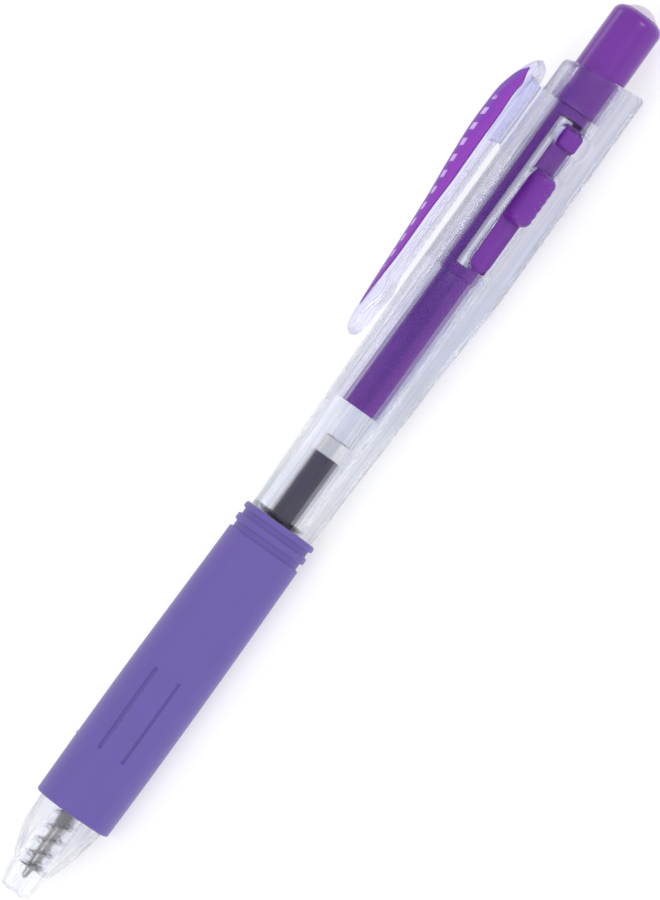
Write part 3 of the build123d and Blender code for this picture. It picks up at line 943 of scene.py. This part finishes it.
def grip_walls(x, angle):
    """Grip: rounded triangle, necked between the ribs, grooved in pairs, rounded at its edges.

    Each neck, edge and groove takes its depth off the radius; a small bead ends each groove.
    """
    face = curve(GRIP_FACE, x)
    corner = curve(GRIP_CORNER, x)
    radius = triangle_radius(angle, face, corner)
    for a, b in GRIP_NECKS:
        necked = np.clip((x - a) / NECK_EDGE, 0, 1) * np.clip((b - x) / NECK_EDGE, 0, 1)
        radius = radius - NECK_DEPTH * necked
    for edge in (GRIP_FACE[0][0], GRIP_FACE[-1][0]):
        near = np.clip(np.abs(x - edge) / GRIP_ROUND, 0, 1)
        radius = radius - GRIP_ROUND * (1 - quarter_round(near))
    run = np.clip(x, GRIP_GROOVE[0] + 0.3, GRIP_GROOVE[1] - 0.3)
    for direction in GRIP_GROOVE_SIDES:
        turn = angle - radians(WINDOW_SIDE - direction)
        side = radius * np.sin(turn)
        ahead = np.cos(turn) > 0.5
        for offset in GROOVE_OFFSETS:
            groove = np.hypot(x - run, side - offset)
            bead = np.hypot(x - GRIP_GROOVE[0] + 0.2, side - offset)
            radius = radius - ahead * GROOVE_DEPTH * (1 - smooth_step(*GROOVE_EDGE, groove))
            radius = radius + ahead * BEAD_HEIGHT * (1 - smooth_step(*BEAD_EDGE, bead))
    inner = np.full_like(radius, CORE_R + 0.01)
    return polar(x, radius, angle, WINDOW_SIDE), polar(x, inner, angle, WINDOW_SIDE)


def grip_columns():
    """Angles that lie closer together along the grooves.

    Their density is 1 plus 5.5 exp(-(distance / 0.075)^2) for each groove.
    """
    dense = np.linspace(-np.pi, np.pi, 7201)
    weight = np.ones_like(dense)
    for direction in GRIP_GROOVE_SIDES:
        for offset in GROOVE_OFFSETS:
            turn = radians(WINDOW_SIDE - direction) + np.arcsin(offset / 5.6)
            near = np.angle(np.exp(1j * (dense - turn)))
            weight = weight + 5.5 * np.exp(-(near / 0.075)**2)
    total = np.concatenate([[0], np.cumsum((weight[1:] + weight[:-1]) / 2)])
    return np.interp(np.linspace(0, 1, 300, endpoint=False), total / total[-1], dense)


def make_grip(material):
    """The rubber grip, from its radius over a grid of stations and angles."""
    x, angle = np.meshgrid(stations(GRIP_ROWS), grip_columns(), indexing="ij")
    return shell("soft_grip", *grip_walls(x, angle), material, sharp=50.0)


SPRING_START = 3.75
SPRING_END = 28.55
SPRING_R = 1.40
SPRING_WIRE = 0.14
SPRING_TURNS = 14.0


def make_spring(material):
    """Coil whose pitch closes up towards both ends: x is the running sum of the pitch."""
    t = np.linspace(0, 1, int(SPRING_TURNS * 26))
    pitch = 0.17 + smooth_step(0.06, 0.14, t) * (1 - smooth_step(0.86, 0.94, t))
    x = np.concatenate([[0], np.cumsum((pitch[1:] + pitch[:-1]) / 2)])
    x = SPRING_START + SPRING_WIRE + x / x[-1] * (SPRING_END - SPRING_START - 2 * SPRING_WIRE)
    angle = 2 * np.pi * SPRING_TURNS * t
    return helix_tube("coil_spring", x, SPRING_R, angle, SPRING_WIRE, material)


TIP_CONE = [(2.50, 0.32), (2.62, 0.40), (5.1, 0.73), (5.4, 0.80), (13.6, 0.80)]
TIP_END = 2.3
BALL_R = 0.25
RING = ((0.0, 1.05), (0.1, 0.96), (0.2, 0.96), (0.3, 1.05))
HOLDER_RINGS = [(10.9 + 0.45 * k + ahead, radius) for k in range(6) for ahead, radius in RING]
HOLDER_END = [(10.6, 0.92), (10.65, 1.0), (10.8, 1.03)]
HOLDER_FLANGE = [(14.0, 1.15), (28.5, 1.15), (28.6, 1.22), (28.62, 2.02), (28.7, 2.1), (30.4, 2.1),
                 (30.5, 2.02), (30.52, 1.67), (32.6, 1.67)]
HOLDER = HOLDER_END + HOLDER_RINGS + HOLDER_FLANGE
TUBE_OUTSIDE = [(30.5, 1.88), (30.6, 1.95), (60.0, 1.95), (98.7, 1.95), (98.8, 1.90)]
TUBE_INSIDE = [(30.5, 1.68), (30.6, 1.68), (60.0, 1.68), (98.7, 1.68), (98.8, 1.70)]
INK_R = 1.70
INK_SPAN = (32.7, 70.0)
INK_MIDDLE = 50.0
FOLLOWER_TOP = 72.6
BOWL = 0.45
LAST_BOWL = 0.3


def make_refill(finishes):
    """Tube, ink, follower, holder, tip and ball by CAD node, each turned about the axis.

    The ink's top and the follower's two ends are bowls, whose depth goes as 1 - (r / R)^2.
    """
    start, top = INK_SPAN
    bowl = [(top - BOWL * (1 - (r / INK_R)**2), r) for r in np.linspace(INK_R, 0.02, 9)]
    follower = [(top - 0.44 + BOWL * (r / INK_R)**2, r) for r in np.linspace(0.02, INK_R - 0.01, 9)]
    cover = [(FOLLOWER_TOP - LAST_BOWL * (1 - (r / INK_R)**2), r)
             for r in np.linspace(INK_R - 0.01, 0.02, 7)]
    turns = np.linspace(0.12, np.pi - 0.12, 16)
    ball = [(TIP_END + BALL_R * (1 - np.cos(a)), BALL_R * np.sin(a)) for a in turns]
    return {
        "refill_tube": hollow_lathe("refill_tube_clear", TUBE_OUTSIDE, TUBE_INSIDE,
                                    finishes["tube"]),
        "ink": lathe("ink_column", [(start, INK_R), (INK_MIDDLE, INK_R)] + bowl, finishes["ink"]),
        "ink_follower": lathe("ink_follower_plug", follower + cover, finishes["follower"]),
        "refill_holder": lathe("tip_holder", HOLDER, finishes["holder"], 72, 25.0),
        "refill_tip": lathe("writing_tip", TIP_CONE, finishes["tip"], 64, 25.0),
        "refill_ball": lathe("writing_ball", ball, finishes["tip"], 32, 60.0),
    }


def make_dome(material):
    """The pale plug: a short rod with a part of a ball for its end."""
    rise = PEN_END - KNOB_TOP
    ball = (DOME_R**2 + rise**2) / (2 * rise)
    cap = [(PEN_END - ball + sqrt(ball**2 - r**2), r) for r in np.linspace(DOME_R, 0.03, 16)]
    return lathe("pale_dome", [(139.3, DOME_R), (140.0, DOME_R)] + cap, material, 72, 40.0)


# ------------------------------------------------------------------ settings

def colour_setting(name, description, default):
    """A colour that a user can change."""
    return bpy.props.FloatVectorProperty(name=name, description=description, default=default,
                                         subtype="COLOR", size=3, min=0, max=1)


def length_setting(name, description, default):
    """A length that a user can change."""
    return bpy.props.FloatProperty(name=name, description=description, default=default,
                                   unit="LENGTH", subtype="DISTANCE")


def angle_setting(name, description, default):
    """An angle that a user can change."""
    return bpy.props.FloatProperty(name=name, description=description, default=radians(default),
                                   unit="ROTATION", subtype="ANGLE")


class GelPenSettings(bpy.types.PropertyGroup):
    """Colours and stage sizes that a user would change."""

    clear_colour: colour_setting("Clear plastic", "Tint where it is thin", (0.97, 0.97, 0.995))
    corner_colour: colour_setting("Clear corners", "Tint in the thick corners", (0.76, 0.79, 0.955))
    clip_colour: colour_setting("Clear clip", "Tint of the clear clip", (0.70, 0.69, 0.95))
    # Painted refraction: colour of the fine streaks that stand in for light bent along the plastic's
    # edges.
    refraction_streak_colour: colour_setting("Streaks", "Tint of the fine streaks", (0.52, 0.58, 0.76))
    clear_index: bpy.props.FloatProperty(
        name="Clear plastic's index", description="How strongly the clear plastic bends light",
        default=1.3, min=1, max=2)
    violet_colour: colour_setting("Violet plastic", "Knob and button", (0.135, 0.014, 0.275))
    leaf_colour: colour_setting("Leaf", "Leaf on the clip", (0.120, 0.022, 0.36))
    leaf_red: colour_setting("Leaf's near edge", "Redder colour of that edge", (0.235, 0.028, 0.40))
    grip_colour: colour_setting("Grip", "Rubber grip", (0.111, 0.069, 0.315))
    floor_colour: colour_setting("Floor", "Floor", (0.52, 0.52, 0.53))
    floor_glow: bpy.props.FloatProperty(
        name="Floor's glow", description="Light the floor gives off by itself",
        default=0.5, min=0, max=2)
    camera_distance: length_setting("Camera distance", "From the camera to the pen's middle", 0.9)
    picture_height: length_setting("Picture height", "Height of the picture at the pen", 0.1176)
    camera_elevation: angle_setting("Camera elevation", "How far above the horizon it stands", 60.0)
    pen_lean: angle_setting("Pen's lean", "Turn of the pen from upright in the picture", 35.7)


def pen_settings():
    """The scene's settings."""
    return bpy.context.scene.gel_pen


# ------------------------------------------------------------------ operators

class GELPEN_OT_barrel(bpy.types.Operator):
    """Make the clear barrel"""
    bl_idname = "gelpen.barrel"
    bl_label = "Barrel"

    def execute(self, context):
        settings = pen_settings()
        clear = clear_plastic(settings, "barrel_plastic", BODY_THROUGH, settings.corner_colour)
        finish_piece(make_barrel(clear), "barrel", "barrel")
        return {"FINISHED"}


class GELPEN_OT_clip(bpy.types.Operator):
    """Make the clear clip, its root web and the leaf on it"""
    bl_idname = "gelpen.clip"
    bl_label = "Clip"

    def execute(self, context):
        settings = pen_settings()
        clear = clear_plastic(settings, "clip_plastic", CLIP_THROUGH, settings.clip_colour)
        finish_piece(make_clip(clear), "clip", "clip")
        finish_piece(make_leaf(leaf_print(settings)), "clip", "clip_leaf")
        web = make_web(clear)
        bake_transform(web)
        return {"FINISHED"}


class GELPEN_OT_plunger(bpy.types.Operator):
    """Make the press knob with its sleeve, and the dome in its end"""
    bl_idname = "gelpen.plunger"
    bl_label = "Plunger"

    def execute(self, context):
        settings = pen_settings()
        violet = gloss_plastic("violet_plastic", settings.violet_colour, **VIOLET_GLOSS)
        finish_piece(make_plunger(violet), "plunger", "plunger")
        pale = gloss_plastic("dome_plastic", DOME_COLOUR, 0.3, Transmission_Weight=0.35)
        finish_piece(make_dome(pale), "plunger", "plunger_dome")
        return {"FINISHED"}


class GELPEN_OT_button(bpy.types.Operator):
    """Make the release button: the tongue with its pad and nub"""
    bl_idname = "gelpen.button"
    bl_label = "Release button"

    def execute(self, context):
        violet = gloss_plastic("button_plastic", pen_settings().violet_colour, **VIOLET_GLOSS)
        piece = make_button(violet)
        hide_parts("release_button")
        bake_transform(piece)
        return {"FINISHED"}


class GELPEN_OT_front(bpy.types.Operator):
    """Make the clear nose and the rubber grip"""
    bl_idname = "gelpen.front"
    bl_label = "Front section"

    def execute(self, context):
        settings = pen_settings()
        clear = clear_plastic(settings, "nose_plastic", BODY_THROUGH, settings.corner_colour)
        finish_piece(make_front(clear), "front_section", "front_barrel")
        finish_piece(make_grip(grip_rubber(settings)), "front_section", "grip")
        return {"FINISHED"}


class GELPEN_OT_spring(bpy.types.Operator):
    """Make the return spring on the front section"""
    bl_idname = "gelpen.spring"
    bl_label = "Spring"

    def execute(self, context):
        piece = make_spring(metal("spring_steel", SPRING_COLOUR, 0.26, (0.2, 1, 1)))
        finish_piece(piece, "front_section", "spring")
        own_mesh(piece)
        return {"FINISHED"}


class GELPEN_OT_refill(bpy.types.Operator):
    """Make the refill: tube, ink, grease plug, holder, tip and ball"""
    bl_idname = "gelpen.refill"
    bl_label = "Refill"

    def execute(self, context):
        finishes = {
            "tube": clear_tube("tube_plastic", TUBE_COLOUR, 0.05),
            "ink": gloss_plastic("gel_ink", INK_COLOUR, 0.2),
            "follower": clear_tube("follower_grease", FOLLOWER_COLOUR, 0.12),
            "holder": gloss_plastic("holder_plastic", HOLDER_COLOUR, 0.3, Transmission_Weight=0.2),
            "tip": metal("tip_steel", TIP_COLOUR, 0.22, (1, 0.1, 0.1)),
        }
        for node, piece in make_refill(finishes).items():
            finish_piece(piece, "refill", node)
        return {"FINISHED"}


FLOOR_HALF = 3.0
FLOOR_GAP = 0.00005
WORLD_COLOUR = (0.96, 0.97, 1.0, 1.0)
WORLD_STRENGTH = 0.95
LAMP_DISTANCE = 0.9
# Name, direction from the pen, side in metres and power in watts.
LAMPS = [
    ("key_lamp", (-0.5, -0.2, 1.0), 0.5, 1.6),
    ("side_lamp", (0.6, -0.9, 0.7), 0.35, 1.4),
    ("rim_lamp", (0.3, 1.0, 0.5), 0.3, 0.5),
]


def soft_lamp(name, direction, size, power):
    """A square area lamp that looks at the pen from a direction."""
    lamp = bpy.data.lights.new(name, "AREA")
    lamp.shape = "SQUARE"
    lamp.size = size
    lamp.energy = power
    made = bpy.data.objects.new(name, lamp)
    way = Vector(direction).normalized()
    made.location = way * LAMP_DISTANCE
    made.rotation_euler = way.to_track_quat("Z", "Y").to_euler()
    bpy.context.scene.collection.objects.link(made)


def add_floor(settings):
    """A wide pale square just under the pen."""
    half = FLOOR_HALF
    corners = [(-half, -half, 0), (half, -half, 0), (half, half, 0), (-half, half, 0)]
    mesh = bpy.data.meshes.new("floor")
    mesh.from_pydata(corners, [], [(0, 1, 2, 3)])
    mesh.materials.append(floor_paint(settings))
    mesh.transform(Matrix.Translation((0, 0, -FLOOR_GAP)))
    floor = bpy.data.objects.new("floor", mesh)
    bpy.context.scene.collection.objects.link(floor)


def add_light():
    """An even, bright world and three soft lamps."""
    world = bpy.data.worlds.new("studio")
    world.use_nodes = True
    background = world.node_tree.nodes["Background"]
    background.inputs["Color"].default_value = WORLD_COLOUR
    background.inputs["Strength"].default_value = WORLD_STRENGTH
    bpy.context.scene.world = world
    for lamp in LAMPS:
        soft_lamp(*lamp)


def add_camera(settings):
    """A camera in front of and above the pen, turned so that the pen leans in the picture."""
    camera = bpy.data.cameras.new("camera")
    camera.sensor_width = 36.0
    camera.lens = camera.sensor_width * settings.camera_distance / settings.picture_height
    camera.clip_start = 0.01
    back = Vector((0, -cos(settings.camera_elevation), sin(settings.camera_elevation)))
    pen = Vector((1, 0, 0))
    across = pen.cross(back)
    lean = settings.pen_lean
    right = sin(lean) * pen + cos(lean) * across
    up = cos(lean) * pen - sin(lean) * across
    turn = Matrix((right, up, back)).transposed()
    aim = Vector((0.0, AXIS_Y, AXIS_Z))
    made = bpy.data.objects.new("camera", camera)
    made.matrix_world = Matrix.Translation(aim + back * settings.camera_distance) @ turn.to_4x4()
    bpy.context.scene.collection.objects.link(made)
    bpy.context.scene.camera = made


class GELPEN_OT_stage(bpy.types.Operator):
    """Make the floor, the lights and the camera"""
    bl_idname = "gelpen.stage"
    bl_label = "Stage"

    def execute(self, context):
        settings = pen_settings()
        bpy.context.scene.view_settings.view_transform = "Standard"
        add_floor(settings)
        add_light()
        add_camera(settings)
        return {"FINISHED"}


OPERATORS = (GELPEN_OT_stage, GELPEN_OT_barrel, GELPEN_OT_clip, GELPEN_OT_plunger, GELPEN_OT_button,
             GELPEN_OT_front, GELPEN_OT_spring, GELPEN_OT_refill)


class GELPEN_PT_panel(bpy.types.Panel):
    """Lists the pieces and the settings"""
    bl_idname = "GELPEN_PT_panel"
    bl_label = "Gel pen"
    bl_space_type = "VIEW_3D"
    bl_region_type = "UI"
    bl_category = "Gel pen"

    def draw(self, context):
        for operator in OPERATORS:
            self.layout.operator(operator.bl_idname)
        for name in GelPenSettings.__annotations__:
            self.layout.prop(context.scene.gel_pen, name)


CLASSES = (GelPenSettings,) + OPERATORS + (GELPEN_PT_panel,)


def register():
    """Register the classes and hang the settings on the scene."""
    for item in CLASSES:
        bpy.utils.register_class(item)
    bpy.types.Scene.gel_pen = bpy.props.PointerProperty(type=GelPenSettings)


def unregister():
    """Undo register."""
    del bpy.types.Scene.gel_pen
    for item in reversed(CLASSES):
        bpy.utils.unregister_class(item)


def main():
    """Make the stage and every piece."""
    register()
    for operator in OPERATORS:
        group, name = operator.bl_idname.split(".")
        getattr(getattr(bpy.ops, group), name)()


if __name__ == "__main__":
    main()
